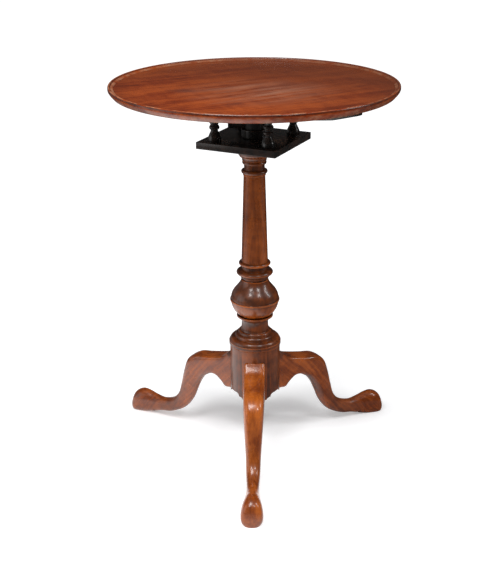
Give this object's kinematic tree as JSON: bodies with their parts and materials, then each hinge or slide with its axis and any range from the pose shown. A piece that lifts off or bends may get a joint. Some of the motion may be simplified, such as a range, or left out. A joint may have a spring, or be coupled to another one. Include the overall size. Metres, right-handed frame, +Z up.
{
  "type": "tilt-top tea table",
  "caption": "Round dished table top that tilts upright on a swivelling baluster cage, over a turned ball pillar and a tripod of cabriole legs, with a sliding catch.",
  "frame": {"origin": "on the floor, under the middle of the table's bounding box", "axes": "+Z up; -Y towards the front leg and the pictured side; +X to the picture's right"},
  "size_m": [0.5278, 0.556, 0.72],
  "materials": {
    "mahogany": "red-brown polished mahogany, glossy",
    "ebonised_wood": "black stained and polished hardwood",
    "brass": "aged brass, satin",
    "iron": "dark wrought iron"
  },
  "bodies": {
    "base": {"pillar": "mahogany", "leg_front": "mahogany", "leg_rear_right": "mahogany", "leg_rear_left": "mahogany", "hub_brace": "iron", "brace_nail_1": "iron", "brace_nail_2": "iron", "brace_nail_3": "iron", "brace_centre_screw": "iron", "cage_collar": "ebonised_wood", "wedge_key": "ebonised_wood"},
    "cage": {"cage_plate": "ebonised_wood", "cage_block": "ebonised_wood", "baluster_1": "ebonised_wood", "baluster_2": "ebonised_wood", "baluster_3": "ebonised_wood", "baluster_4": "ebonised_wood", "keeper_plate": "brass", "keeper_screw_1": "brass", "keeper_screw_2": "brass"},
    "top": {"table_top": "mahogany", "cleat_near": "ebonised_wood", "cleat_far": "ebonised_wood", "cleat_near_screw_1": "iron", "cleat_near_screw_2": "iron", "cleat_near_screw_3": "iron", "cleat_far_screw_1": "iron", "cleat_far_screw_2": "iron", "cleat_far_screw_3": "iron", "catch_plate": "brass", "catch_screw_1": "brass", "catch_screw_2": "brass", "catch_screw_3": "brass", "catch_screw_4": "brass"},
    "catch_bolt": {"catch_bolt": "brass"}
  },
  "joints": [
    {"name": "cage_swivel", "type": "hinge", "parent": "base", "child": "cage", "pos_m": [0, 0.02195, 0.6097], "axis": [0, 0, 1], "continuous": true},
    {"name": "top_tilt", "type": "hinge", "parent": "cage", "child": "top", "pos_m": [-0.05921, 0.04925, 0.6922], "axis": [-0.4187, -0.9081, 0], "range_deg": [0, 88]},
    {"name": "catch_slide", "type": "slide", "parent": "top", "child": "catch_bolt", "axis": [-0.9081, 0.4187, 0], "range_m": [0, 0.009]}
  ]
}
